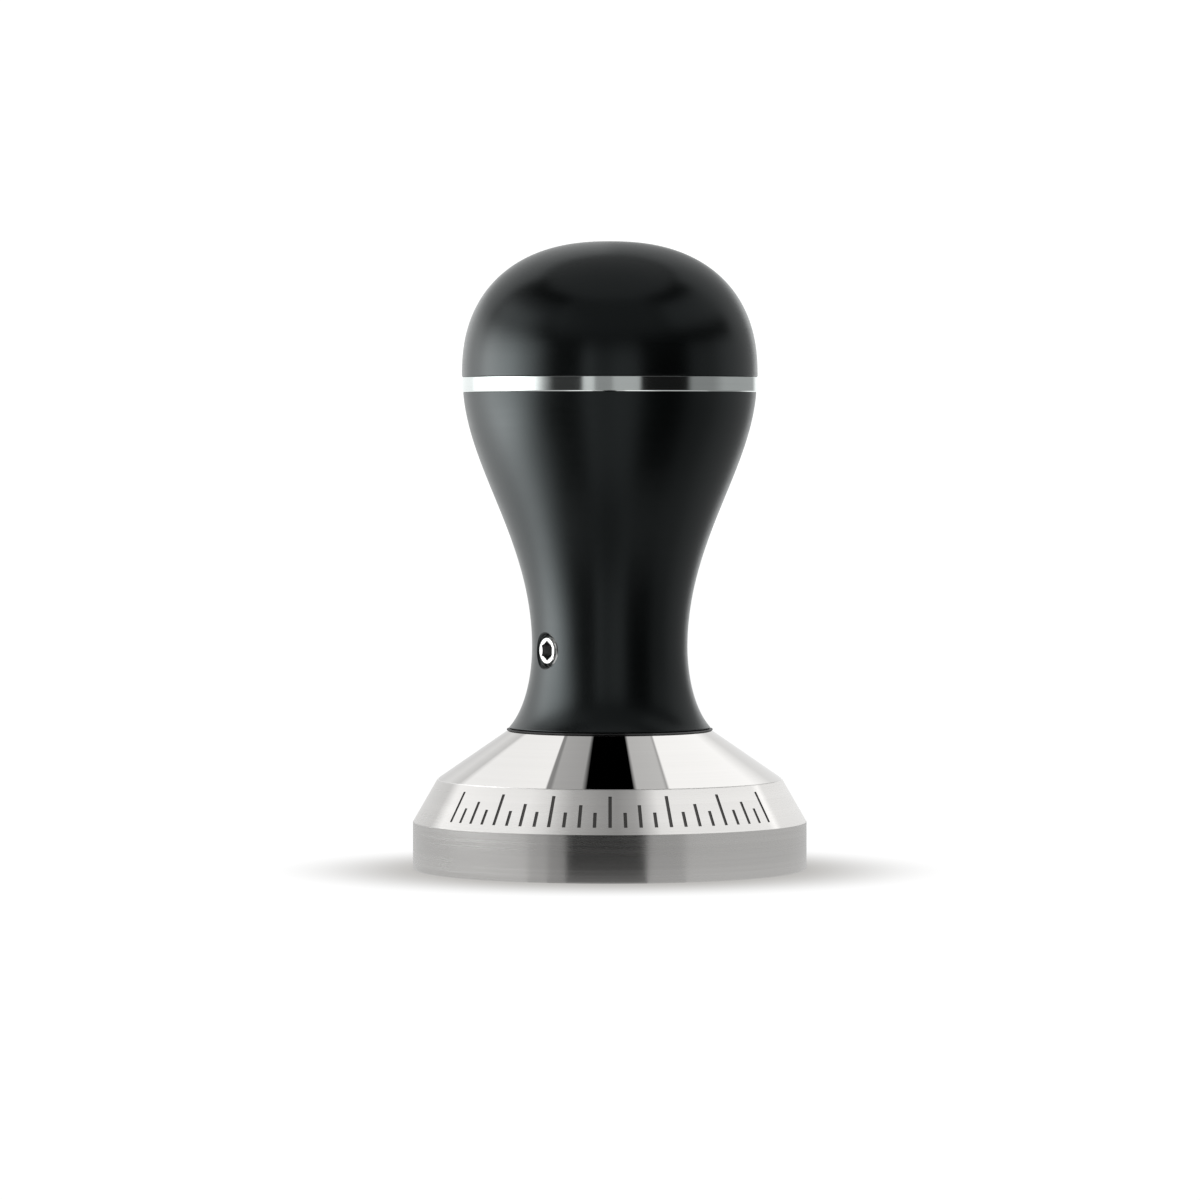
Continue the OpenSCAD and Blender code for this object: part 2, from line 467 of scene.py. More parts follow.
def bump(tree, height, depth, under=None):
    """A normal for a relief with a depth in metres, over another normal if one is given."""
    inputs = {"Height": height, "Distance": depth}
    if under is not None:
        inputs["Normal"] = under
    return put(tree, "ShaderNodeBump", inputs)


def mostly(tree, main, other):
    """Seven tenths of one output and three tenths of another."""
    return maths(tree, "ADD", maths(tree, "MULTIPLY", main, 0.7),
                 maths(tree, "MULTIPLY", other, 0.3))


def roughened(tree, shader, value, roughness, spread):
    """Links a roughness that some noise moves up and down by the spread."""
    rough = remap(tree, value, *NOISE_RANGE, roughness - spread, roughness + spread)
    tree.links.new(rough, shader.inputs["Roughness"])


def tinted(tree, shader, color, tone):
    """Links a colour times a tone to the shader."""
    mixed = put(tree, "ShaderNodeVectorMath", {0: color, "Scale": tone}, operation="SCALE")
    tree.links.new(mixed, shader.inputs["Base Color"])


def turned_metal(name, color, roughness, spread, line_depth, around=25.0, along=2600.0,
                 anisotropy=0.0, shade=0.06):
    """Metal with fine circular turning lines, faint smudges and small changes of roughness.
    Spread is how far the roughness changes each way, and shade is how dark a line can be."""
    made, tree, shader = new_material(name, Metallic=1.0, Anisotropic=anisotropy)
    lines = noise(tree, turned_place(tree, around, along), 1.0, 4.0, 0.65)
    coarse = noise(tree, turned_place(tree, around * 0.4, along * 0.18), 1.0, 2.0)
    smudge = noise(tree, object_place(tree), 90.0, 3.0)
    roughened(tree, shader, mostly(tree, lines, smudge), roughness, spread)
    tone = remap(tree, maths(tree, "ADD", lines, coarse), *TWO_NOISES, 1.0 - shade, 1.0)
    tinted(tree, shader, color, tone)
    rise = maths(tree, "ADD", lines, maths(tree, "MULTIPLY", coarse, 0.8))
    tree.links.new(bump(tree, rise, line_depth), shader.inputs["Normal"])
    if anisotropy:
        tangent = tree.nodes.new("ShaderNodeTangent")
        tangent.direction_type = "RADIAL"
        tangent.axis = "Z"
        tree.links.new(tangent.outputs[0], shader.inputs["Tangent"])
        shader.inputs["Anisotropic Rotation"].default_value = 0.25
    return made


def anodised(name, color, roughness):
    """Satin black anodising: a bead-blasted grain over very faint turning lines."""
    made, tree, shader = new_material(
        name, IOR=1.5, Specular_Tint=(0.88, 0.98, 1.0, 1.0))
    place = object_place(tree)
    grain = noise(tree, place, 5200.0, 2.0, 0.6)
    cloud = noise(tree, place, 60.0, 4.0, 0.6)
    lines = noise(tree, turned_place(tree, 12.0, 1500.0), 1.0, 3.0)
    tone = remap(tree, maths(tree, "ADD", cloud, grain), *TWO_NOISES, 0.8, 1.2)
    tinted(tree, shader, color, tone)
    roughened(tree, shader, mostly(tree, cloud, lines), roughness, 0.035)
    turned = bump(tree, lines, 4e-6)
    tree.links.new(bump(tree, grain, 7e-6, under=turned), shader.inputs["Normal"])
    return made


def dull(name, color, roughness, scale, depth):
    """A matt surface with a fine grain."""
    made, tree, shader = new_material(name)
    grain = noise(tree, object_place(tree), scale, 3.0)
    tone = remap(tree, grain, *NOISE_RANGE, 0.8, 1.2)
    tinted(tree, shader, color, tone)
    roughened(tree, shader, grain, roughness, 0.06)
    tree.links.new(bump(tree, grain, depth), shader.inputs["Normal"])
    return made


STEEL = (0.70, 0.69, 0.675)
BLACK = (0.0006, 0.0008, 0.0008)
# Each metal's colour, its roughness and spread, and the depth of its turning lines in metres
POLISHED = turned_metal("piston_polished", STEEL, 0.08, 0.012, 1e-7, shade=0.03)
BAND = turned_metal("piston_band", STEEL, 0.28, 0.03, 4e-7)
WALL = turned_metal("piston_wall", STEEL, 0.26, 0.04, 7e-7, around=10.0, along=1700.0,
                    anisotropy=0.7, shade=0.12)
SOLE = turned_metal("piston_sole", STEEL, 0.16, 0.03, 1.5e-6)
ETCHED = dull("piston_etched", (0.035, 0.033, 0.031), 0.6, 6000.0, 1e-5)
TAPPED = turned_metal("tapped_steel", (0.5, 0.49, 0.48), 0.3, 0.05, 1e-6)
SPIGOT = turned_metal("spigot_turned", (0.66, 0.65, 0.64), 0.2, 0.04, 1.5e-6)
RING = turned_metal("ring_polished", (0.71, 0.745, 0.735), 0.11, 0.02, 8e-7)
ANODISED = anodised("handle_anodised", BLACK, 0.3)
DOME = anodised("dome_anodised", BLACK, 0.24)
BARE = turned_metal("bare_aluminium", (0.75, 0.75, 0.76), 0.3, 0.05, 1e-6)
SCREW = turned_metal("screw_bright", (0.68, 0.68, 0.67), 0.2, 0.03, 1e-6)
# The inside of the set screw's socket: a real rougher finish, and the screw's steel darkened as
# painted shade in the recess.
PAINTED_SHADE_SOCKET = turned_metal("screw_socket_painted_shade", (0.3, 0.3, 0.3), 0.4, 0.05, 1e-6)
ZINC = turned_metal("screw_zinc", (0.6, 0.62, 0.66), 0.26, 0.05, 1e-6)
POLYMER = dull("washer_polymer", (0.012, 0.012, 0.013), 0.5, 3000.0, 1e-5)
BRASS = turned_metal("pad_brass", (0.75, 0.55, 0.25), 0.25, 0.05, 1e-6)


# -------------------- the piston

SECTORS = round(FULL_TURN / TICK_STEP)
GAP_COLUMNS = 4
SECTOR_COLUMNS = GAP_COLUMNS + 1
POLISHED_FINISH, WALL_FINISH, SOLE_FINISH, BAND_FINISH, ETCHED_FINISH, TAPPED_FINISH = range(6)


def piston_columns(radius):
    """The angles of the piston's columns. Those beside a tick keep its width at each radius."""
    half = math.asin(TICK_W / 2 / min(max(radius, BAND_TOP[0]), PISTON_R))
    space = (TICK_STEP - 2 * half) / GAP_COLUMNS
    angles = []
    for sector in range(SECTORS):
        middle = FRONT + TICK_STEP * sector
        angles.append(middle - half)
        angles += [middle + half + space * k for k in range(GAP_COLUMNS)]
    return angles


def piston_outline(tick_points):
    """The piston's outline, from the middle of the sole to the mouth of the tapped hole."""
    mouth_r = M8[0] + CLEARANCE
    return softened(
        [(0, 0), (PISTON_R - PISTON_BEVEL, 0), (PISTON_R, PISTON_BEVEL),
         (PISTON_R, PISTON_WALL_H)] + tick_points +
        [BAND_TOP, (PISTON_TOP_R, PISTON_TOP_Z - PISTON_BEVEL),
         (PISTON_TOP_R - PISTON_BEVEL, PISTON_TOP_Z), (mouth_r + TAPPED_CHAMFER, PISTON_TOP_Z),
         (mouth_r, PISTON_TOP_Z - TAPPED_CHAMFER)])


def piston_finish(height, on_band):
    """The finish of the piston's outside at a height."""
    if height < PISTON_BEVEL:
        return SOLE_FINISH
    if height < PISTON_WALL_H:
        return WALL_FINISH
    return BAND_FINISH if on_band else POLISHED_FINISH


def tick_ends(rows):
    """For the column of each tick, the row that it ends at: every fourth is the longest."""
    side = TICKS // 2
    ends = {}
    for number in range(-side, side + 1):
        size = 2 if number % 4 == 0 else 1 if number % 2 == 0 else 0
        ends[(number % SECTORS) * SECTOR_COLUMNS] = rows[1 + size]
    return ends


def piston():
    """The piston, with its etched ticks as pockets in the band and its tapped hole."""
    shape = Shape(SECTORS * SECTOR_COLUMNS, columns=piston_columns)
    foot = Vector((PISTON_R, PISTON_WALL_H))
    slope = Vector(BAND_TOP) - foot
    tick_start = (slope.length - TICK_LENGTHS[-1]) / 2
    stops = [tick_start] + [tick_start + length for length in TICK_LENGTHS]
    tick_points = [tuple(foot + slope.normalized() * stop) for stop in stops]
    outline = piston_outline(tick_points)
    made = [shape.ring(*point) for point in outline]
    rows = [min(range(len(outline)), key=lambda i: (Vector(outline[i]) - Vector(stop)).length)
            for stop in tick_points]
    band_end = max(i for i, point in enumerate(outline) if point[1] < BAND_TOP[1])
    ticks = tick_ends(rows)
    for i in range(len(outline) - 1):
        height = (outline[i][1] + outline[i + 1][1]) / 2
        shape.finish = piston_finish(height, i <= band_end)
        cut = {column for column, last in ticks.items() if rows[0] <= i < last}
        shape.strip(made[i], made[i + 1], cut)
    shape.finish = ETCHED_FINISH
    normal = Vector((slope.y, -slope.x)).normalized()
    for column, last in ticks.items():
        etch(shape, made, column, rows[0], last, normal)
    shape.finish = TAPPED_FINISH
    tapped_hole(shape, made[-1], outline[-1])
    return shape


def tapped_hole(shape, mouth, mouth_point):
    """The thread and the drilled bottom under the mouth of the piston's hole."""
    mouth_r, mouth_z = mouth_point
    root = root_radius(M8) + CLEARANCE
    hole_z = PISTON_TOP_Z - TAPPED_DEPTH
    floor_z = hole_z + DRILL_POINT
    bottom = shape.ring(root, floor_z)
    shape.thread(bottom, mouth, floor_z, mouth_z, root, mouth_r, M8[1], root, mouth_r,
                 inwards=True)
    shape.strip(bottom, shape.ring(0, hole_z))


def etch(shape, made, column, first, last, normal):
    """One shallow pocket in the band, from the first row to the last."""
    def lowered(index, angle):
        x, y, z = shape.points[index]
        return shape.point(x - TICK_DEPTH * normal.x * math.cos(angle),
                           y - TICK_DEPTH * normal.x * math.sin(angle),
                           z - TICK_DEPTH * normal.y)
    rows = [made[i] for i in range(first, last + 1)]
    x, y, _ = shape.points[rows[0][column]]
    angle = math.atan2(y, x)
    right = [row[column] for row in rows]
    left = [row[column + 1] for row in rows]
    deep_right = [lowered(index, angle) for index in right]
    deep_left = [lowered(index, angle) for index in left]
    for k in range(len(rows) - 1):
        shape.face(deep_right[k], deep_left[k], deep_left[k + 1], deep_right[k + 1])
        shape.face(right[k], deep_right[k], deep_right[k + 1], right[k + 1])
        shape.face(deep_left[k], left[k], left[k + 1], deep_left[k + 1])
    shape.face(right[0], left[0], deep_left[0], deep_right[0])
    shape.face(deep_right[-1], deep_left[-1], left[-1], right[-1])


# -------------------- the handle

HOLE_COLUMNS = 144
WALL_R = M5[0] + CLEARANCE
ROOT_R = root_radius(M5) + CLEARANCE
RIM_R = 2.75
THREAD_OUT, THREAD_IN = 10.8, 7.0
# A window is the part of the grid that the set screw's hole replaces: its columns and rows each
# way from the screw, and the rows' height.
WINDOW_OUT = (13, 23, 0.16)
WINDOW_IN = (24, 12, 0.25)
PATCH_STEPS = 6
ROW_STEP_LOW, ROW_STEP_HIGH = 0.3, 0.7


def window_heights(window):
    """The heights of a window's rows."""
    _, rows, step = window
    return [SCREW_Z + step * k for k in range(-rows, rows + 1)]


def spaced(low, high, step):
    """Heights from low to high, about a step apart, without the last."""
    count = max(1, round((high - low) / step))
    return [low + (high - low) * k / count for k in range(count)]


def handle_outline():
    """The handle's closed outline, with rows of points where the screw's hole breaks it."""
    out, inner = window_heights(WINDOW_OUT), window_heights(WINDOW_IN)
    heights = spaced(FOOT_Z + FOOT_EDGE, out[0], ROW_STEP_LOW) + out
    heights += spaced(out[-1], SHOULDER_Z, ROW_STEP_HIGH)[1:] + [SHOULDER_Z]
    side = [(side_radius(z), z) for z in heights]
    top = [(HANDLE_SPIGOT_R, SHOULDER_Z), (HANDLE_SPIGOT_R, HANDLE_SPIGOT_Z),
           (TIE_HOLE_R, HANDLE_SPIGOT_Z), (TIE_HOLE_R, WEB_Z), (BORE_R, WEB_Z)]
    bore = [(BORE_R, z) for z in reversed(inner)]
    foot = [(BORE_R, FOOT_Z + BORE_CHAMFER), (BORE_R + BORE_CHAMFER, FOOT_Z),
            (FOOT_R - FOOT_EDGE, FOOT_Z)]
    return softened(side + top + bore + foot, radius=0.1, closed=True)


def loop_round(made, rows, columns):
    """The points round a window of the grid, from the middle of its right side, upwards."""
    middle = len(rows) // 2
    side = BODY_SIDES
    right = [made[row][columns] for row in rows]
    left = [made[row][side - columns] for row in rows]
    top = [made[rows[-1]][c % side] for c in range(columns, -columns, -1)]
    bottom = [made[rows[0]][c % side] for c in range(-columns, columns)]
    return right[middle:-1] + top + left[:0:-1] + bottom + right[:middle]


def hole_point(radius, angle, distance):
    """A point of the set screw's hole, at a distance from the handle's axis."""
    across, up = radius * math.cos(angle), radius * math.sin(angle)
    c, s = math.cos(SCREW_BEARING), math.sin(SCREW_BEARING)
    return (distance * c - across * s, distance * s + across * c, SCREW_Z + up)


def hole_edge(radius, surface):
    """Where each column of the hole breaks a surface of revolution: the distance from the
    handle's axis, the height and the place across the hole."""
    edge = []
    for i in range(HOLE_COLUMNS):
        angle = FULL_TURN * i / HOLE_COLUMNS
        across, z = radius * math.cos(angle), SCREW_Z + radius * math.sin(angle)
        edge.append((math.sqrt(surface(z) ** 2 - across**2), z, across))
    return edge


def window_rows(outline, window, near):
    """The numbers of the outline's points in a window, upwards. Near says whether a radius
    belongs to its side of the wall."""
    heights = window_heights(window)
    low, high = heights[0] - TINY, heights[-1] + TINY
    found = [i for i, (r, z) in enumerate(outline) if low <= z <= high and near(r)]
    return sorted(found, key=lambda i: outline[i][1])


def window_columns(window):
    """The numbers of the columns in a window."""
    return {column % BODY_SIDES for column in range(-window[0], window[0])}


def patch(shape, border, surface, edge):
    """Rings from a window's border to the hole's edge, on a surface of revolution."""
    rings = [border]
    for k in range(1, PATCH_STEPS):
        share = k / PATCH_STEPS
        ring = []
        for index, (distance, z, across) in zip(border, edge):
            x, y, border_z = shape.points[index]
            turn = math.remainder(math.atan2(y, x) - SCREW_BEARING, FULL_TURN)
            turn += share * (math.atan2(across, distance) - turn)
            height = border_z + share * (z - border_z)
            ring.append(shape.polar(surface(height), SCREW_BEARING + turn, height))
        rings.append(ring)
    return rings


def hole_ring(shape, radius, distances):
    """A ring of the set screw's hole, with each column's distance from the handle's axis."""
    return [shape.point(*hole_point(radius, FULL_TURN * i / HOLE_COLUMNS, distance))
            for i, distance in enumerate(distances)]


def cut_hole(shape, made, rows_out, rows_in):
    """The set screw's tapped hole, between the windows in the handle's two sides."""
    edge_out = hole_edge(RIM_R, side_radius)
    edge_in = hole_edge(ROOT_R, lambda z: BORE_R)
    reach_out = [distance for distance, _, _ in edge_out]
    reach_in = [distance for distance, _, _ in edge_in]
    rim = RIM_R - WALL_R
    border_out = loop_round(made, rows_out, WINDOW_OUT[0])
    border_in = loop_round(made, rows_in, WINDOW_IN[0])
    outer = patch(shape, border_out, side_radius, edge_out)
    outer.append(hole_ring(shape, RIM_R, reach_out))
    outer.append(hole_ring(shape, WALL_R, [distance - rim for distance in reach_out]))
    outer.append(hole_ring(shape, WALL_R, [THREAD_OUT] * HOLE_COLUMNS))
    inner = [hole_ring(shape, ROOT_R, [THREAD_IN] * HOLE_COLUMNS)]
    inner.append(hole_ring(shape, ROOT_R, reach_in))
    inner += patch(shape, border_in, lambda z: BORE_R, edge_in)[:0:-1]
    inner.append(border_in)
    shape.join(outer)
    shape.join(inner)
    hole = Shape(HOLE_COLUMNS)
    hole.points, hole.faces, hole.finishes = shape.points, shape.faces, shape.finishes
    hole.thread(inner[0], outer[-1], THREAD_IN, THREAD_OUT, ROOT_R, WALL_R, M5[1], ROOT_R, WALL_R,
                place=lambda radius, angle, z: hole.point(*hole_point(radius, angle, z)))


def handle_body():
    """The lower part of the handle, with the tapped hole of the set screw through its wall."""
    shape = Shape(BODY_SIDES, start=SCREW_BEARING)
    outline = handle_outline()
    made = [shape.ring(*point) for point in outline]
    rows_out = window_rows(outline, WINDOW_OUT, lambda r: r > THREAD_IN)
    rows_in = window_rows(outline, WINDOW_IN, lambda r: r < THREAD_IN)
    for i in range(len(made)):
        following = (i + 1) % len(made)
        cut = ()
        if {i, following} <= set(rows_out):
            cut = window_columns(WINDOW_OUT)
        elif {i, following} <= set(rows_in):
            cut = window_columns(WINDOW_IN)
        shape.strip(made[i], made[following], cut)
    cut_hole(shape, made, rows_out, rows_in)
    return shape


def accent_ring():
    """The bright ring between the handle's two parts."""
    shape = Shape(BODY_SIDES)
    inner = HANDLE_SPIGOT_R + FIT
    shape.closed_rings(softened(
        [(inner, SHOULDER_Z), (RING_R - RING_BEVEL, SHOULDER_Z),
         (RING_R, SHOULDER_Z + RING_BEVEL), (RING_R, RING_TOP_Z - RING_BEVEL),
         (RING_R - RING_BEVEL, RING_TOP_Z), (inner, RING_TOP_Z)],
        radius=0.05, closed=True))
    return shape


def handle_cap():
    """The dome, with a recess for the handle's spigot and a tapped hole for the cap screw."""
    shape = Shape(BODY_SIDES)
    root = root_radius(M6) + CLEARANCE
    wall = M6[0] + CLEARANCE
    hole_top = TIE_END_Z + CAP_HOLE_SPARE
    thread_top = hole_top - CAP_DRILL_POINT
    recess_z = HANDLE_SPIGOT_Z + FIT
    recess_r = HANDLE_SPIGOT_R + FIT
    mouth_z = recess_z + CAP_CHAMFER
    shape.finish = 1
    end = shape.ring(root, thread_top)
    mouth = shape.ring(wall, mouth_z)
    shape.strip(shape.ring(0, hole_top), end)
    shape.thread(mouth, end, mouth_z, thread_top, wall, root, M6[1], root, wall, inwards=True)
    shape.finish = 0
    outline = softened([(wall, mouth_z), (wall + CAP_CHAMFER, recess_z), (recess_r, recess_z),
                        (recess_r, RING_TOP_Z)] + dome_outline(), radius=0.12)
    shape.join([mouth] + [shape.ring(*point) for point in outline[1:]])
    return shape


def seat_washer():
    """The thin ring under the handle's foot."""
    shape = Shape(BODY_SIDES)
    shape.closed_rings(softened([(BORE_R, PISTON_TOP_Z), (PISTON_TOP_R, PISTON_TOP_Z),
                                 (PISTON_TOP_R, FOOT_Z), (BORE_R, FOOT_Z)],
                                radius=0.06, closed=True))
    return shape


# -------------------- the spigot and the screws

def socket(shape, size, face_z, start=0.0, downwards=False):
    """A hexagon socket, as rings from a bevelled mouth to a drilled bottom."""
    across, depth = size
    into = -1 if downwards else 1
    corner = across / 2 / math.cos(math.pi / 6)
    side = hexagon(across, start)
    bottom = face_z - into * depth
    drill_z = bottom + into * SOCKET_DRILL_POINT
    return [shape.ring(*point) for point in
            ((corner + SOCKET_BEVEL[0], face_z), (side, face_z - into * SOCKET_BEVEL[1]),
             (side, drill_z), (across * SOCKET_DRILL_R, drill_z), (0, bottom))]


def screw_tip(shape, tip_z, tip_r, edge_r):
    """The flat end of a screw. Returns the ring that its thread starts from."""
    edge = shape.ring(edge_r, tip_z + THREAD_START)
    shape.join([shape.ring(0, tip_z), shape.ring(tip_r, tip_z), edge])
    return edge


def base_stem():
    """The spigot: its thread, a relief groove, the plain part with a flat, and a socket."""
    shape = Shape(BODY_SIDES - 4, start=SCREW_BEARING)
    minor, major = root_radius(M8), M8[0]
    relief_r, relief_z = RELIEF[0], PISTON_TOP_Z - RELIEF[1]
    low_r = minor - THREAD_START
    low = screw_tip(shape, STEM_LOW_Z, low_r - THREAD_START, low_r)
    high = shape.ring(relief_r, relief_z)
    shape.thread(low, high, STEM_LOW_Z + THREAD_START, relief_z, low_r, relief_r, M8[1],
                 minor, major)
    outline = softened([(relief_r, relief_z), (relief_r, PISTON_TOP_Z), (STEM_R, PISTON_TOP_Z),
                        (STEM_R, STEM_FLAT_Z)], radius=0.1)
    cut = flatted(STEM_R, STEM_FLAT, SCREW_BEARING)
    made = [high] + [shape.ring(*point) for point in outline[1:]]
    made += [shape.ring(cut, STEM_FLAT_Z), shape.ring(cut, STEM_TOP_Z - STEM_CHAMFER),
             shape.ring(STEM_FLAT, STEM_TOP_Z)]
    shape.join(made + socket(shape, STEM_SOCKET, STEM_TOP_Z, SCREW_BEARING))
    return shape


def set_screw():
    """The grub screw, along its own axis, with height as the distance from the handle's."""
    shape = Shape(SMALL_SIDES)
    minor, major = root_radius(M5), M5[0]
    end_r = minor - SCREW_END_R
    low_z, high_z = SCREW_TIP + THREAD_START, SCREW_FACE - THREAD_START
    low = screw_tip(shape, SCREW_TIP, end_r - THREAD_START, end_r)
    high = shape.ring(end_r, high_z)
    shape.thread(low, high, low_z, high_z, end_r, end_r, M5[1], minor, major)
    edge = [high] + [shape.ring(end_r - reach, high_z + rise) for reach, rise in SCREW_EDGE]
    inside = socket(shape, SCREW_SOCKET, SCREW_FACE, start=math.pi / 2)
    shape.join(edge + inside[:2])
    # The socket's walls and bottom take the darker finish, which is painted shade.
    shape.finish = 1
    shape.join(inside[1:])
    return shape


def clamp_pad():
    """The pad, from the spigot's flat to the set screw's tip."""
    shape = Shape(SMALL_SIDES)
    inner = STEM_FLAT + FIT
    shape.rings(softened([(0, inner), (PAD_R - PAD_CHAMFER, inner), (PAD_R, inner + PAD_CHAMFER),
                          (PAD_R, SCREW_TIP), (0, SCREW_TIP)], radius=0.05))
    return shape


def cap_screw():
    """The tie screw, with its knurled head downwards."""
    shape = Shape(4 * KNURLS)
    minor, major = root_radius(M6) - CLEARANCE, M6[0] - CLEARANCE
    head_z = TIE_Z - TIE_HEAD_H
    thread_z = HANDLE_SPIGOT_Z - TIE_THREAD_LOW

    def knurled(angle):
        tooth = (angle * KNURLS / FULL_TURN) % 1.0
        return TIE_HEAD_R - 2 * KNURL_DEPTH * abs(tooth - 0.5)

    made = socket(shape, TIE_SOCKET, head_z, downwards=True)[::-1]
    made += [shape.ring(*point) for point in
             ((TIE_HEAD_R - 0.6, head_z), (TIE_HEAD_R - 0.25, head_z + 0.35),
              (knurled, head_z + 0.6), (knurled, TIE_Z - 1.2),
              (TIE_HEAD_R - 0.3, TIE_Z - 0.9), (TIE_HEAD_R - 0.3, TIE_Z - 0.1),
              (TIE_HEAD_R - 0.4, TIE_Z), (major + 0.3, TIE_Z), (major, TIE_Z + 0.3),
              (major, thread_z))]
    shape.join(made)
    end_r = minor - 0.2
    end = shape.ring(end_r, TIE_END_Z)
    shape.thread(made[-1], end, thread_z, TIE_END_Z, major, end_r, M6[1], minor, major)
    shape.strip(end, shape.ring(0, TIE_END_Z))
    return shape


def lock_washer():
    """The split washer: a ring with a gap whose ends lean."""
    shape = Shape(0)
    inner, low, high = M6[0] + FIT, TIE_Z, WEB_Z
    section = softened([(inner, low), (LOCK_R, low), (LOCK_R, high), (inner, high)],
                       radius=0.15, closed=True)
    steps = 120
    loops = []
    for k in range(steps + 1):
        loop = []
        for radius, z in section:
            rise = z - (low + high) / 2
            start = (LOCK_HALF_GAP - rise * LOCK_LEAN) / radius
            end = FULL_TURN - (LOCK_HALF_GAP + rise * LOCK_LEAN) / radius
            loop.append(shape.polar(radius, start + (end - start) * k / steps, z))
        loops.append(loop)
    for here, there in zip(loops, loops[1:]):
        for i in range(len(section)):
            j = (i + 1) % len(section)
            shape.face(here[i], there[i], there[j], here[j])
    shape.face(*loops[0])
    shape.face(*reversed(loops[-1]))
    return shape


def screw_place():
    """Turns a shape's axis to the set screw's line: its height becomes the distance outwards."""
    outwards = Vector((math.cos(SCREW_BEARING), math.sin(SCREW_BEARING), 0))
    across = Vector((-outwards.y, outwards.x, 0))
    up = Vector((0, 0, 1))
    turned = Matrix((across, up, outwards)).transposed().to_4x4()
    return Matrix.Translation((0, 0, SCREW_Z)) @ turned


piece(piston(), "tamper_base", "base",
      [POLISHED, WALL, SOLE, BAND, ETCHED, TAPPED])
piece(seat_washer(), "seat_washer", "washer", [POLYMER])
piece(base_stem(), "base_stem", "stem", [SPIGOT])
piece(handle_body(), "handle_body", "handle", [ANODISED])
piece(accent_ring(), "accent_ring", "handle", [RING])
piece(handle_cap(), "handle_cap", "handle", [DOME, BARE])
piece(cap_screw(), "cap_screw", "handle", [ZINC])
piece(lock_washer(), "lock_washer", "handle", [ZINC])
piece(set_screw(), "set_screw", "screw", [SCREW, PAINTED_SHADE_SOCKET], screw_place())
piece(clamp_pad(), "clamp_pad", "pad", [BRASS], screw_place())


# -------------------- floor, light and camera

RAYS = ("camera", "diffuse", "glossy", "transmission", "volume_scatter", "shadow")


def stage_mesh(name, points, faces, finish, seen_by):
    """A stage piece, which only the rays named see."""
    mesh = bpy.data.meshes.new(name)
    mesh.from_pydata(points, [], faces)
    mesh.materials.append(finish)
    made = bpy.data.objects.new(name, mesh)
    for ray in RAYS:
        setattr(made, "visible_" + ray, ray in seen_by)
    bpy.context.scene.collection.objects.link(made)
    return made


def on_circle(radius, degrees, height):
    """A point at a bearing from the front, in metres."""
    angle = math.radians(degrees)
    return (radius * math.sin(angle), -radius * math.cos(angle), height)


def glow(name, strength):
    """A material that only shines, its node tree and the node that shines."""
    finish, tree, shader = new_material(name)
    shine = tree.nodes.new("ShaderNodeEmission")
    shine.inputs["Strength"].default_value = strength
    tree.links.new(shine.outputs[0], tree.nodes["Material Output"].inputs["Surface"])
    tree.nodes.remove(shader)
    return finish, tree, shine


def window(tree, value, low, high, soft):
    """One between low and high, and nothing outside, with soft edges."""
    start = remap(tree, value, low - soft, low + soft, 0.0, 1.0, smooth=True)
    stop = remap(tree, value, high - soft, high + soft, 1.0, 0.0, smooth=True)
    return maths(tree, "MULTIPLY", start, stop)


def bearing_and_height(tree):
    """The bearing from the front in degrees, positive to the right, and the height."""
    x, y, z = object_xyz(tree)
    angle = maths(tree, "ARCTAN2", x, maths(tree, "MULTIPLY", y, -1.0))
    return maths(tree, "MULTIPLY", angle, 180 / math.pi), z


FLOOR_R = 2.5
FLOOR_SIDES = 72
FLOOR_Z = -0.00002            # just under the sole, so that the two don't share a plane
FLOOR_BASE = (0.12, 0.12, 0.12, 1.0)
# What it shines under the object, where a round shadow is painted, and around it, and where one
# changes into the other
FLOOR_PAINTED_SHADOW, FLOOR_WHITE = (0.41, 0.4, 0.385), (0.9, 0.9, 0.9)
PAINTED_SHADOW_MIDDLE = (0.0, -0.003, 0.0)
PAINTED_SHADOW_REACH = (0.0245, 0.052)
BACKDROP_R = 12.0
BACKDROP_ROWS = 24
BACKDROP_SHINE = 1.1


def floor():
    """A floor that shines white, with a round shadow painted into its shining colour under the
    object, darker towards the middle; its faint diffuse colour also takes a little real shadow.
    It is clear from below, so that the sole can be seen."""
    finish, tree, shader = new_material(
        "floor_pale_painted_shadow", Base_Color=FLOOR_BASE, Roughness=1.0, Specular_IOR_Level=0.0,
        Emission_Strength=1.0)
    # Painted shadow: the shining colour runs from dark at the middle out to white further away.
    offset = put(tree, "ShaderNodeVectorMath", {0: object_place(tree), 1: PAINTED_SHADOW_MIDDLE},
                 operation="SUBTRACT")
    away = put(tree, "ShaderNodeVectorMath", {0: offset}, operation="LENGTH")
    share = remap(tree, away.node.outputs["Value"], *PAINTED_SHADOW_REACH, 0.0, 1.0, smooth=True)
    gain = tuple(white - dark for white, dark in zip(FLOOR_WHITE, FLOOR_PAINTED_SHADOW))
    color = put(tree, "ShaderNodeVectorMath", {0: share, 1: gain, 2: FLOOR_PAINTED_SHADOW},
                operation="MULTIPLY_ADD")
    tree.links.new(color, shader.inputs["Emission Color"])
    from_below = tree.nodes.new("ShaderNodeNewGeometry").outputs["Backfacing"]
    clear = put(tree, "ShaderNodeBsdfTransparent")
    both = put(tree, "ShaderNodeMixShader", {0: from_below, 1: shader.outputs[0], 2: clear})
    tree.links.new(both, tree.nodes["Material Output"].inputs["Surface"])
    points = [on_circle(FLOOR_R, 360 / FLOOR_SIDES * i, FLOOR_Z) for i in range(FLOOR_SIDES)]
    stage_mesh("floor", points, [list(range(FLOOR_SIDES))], finish,
               [ray for ray in RAYS if ray != "glossy"])


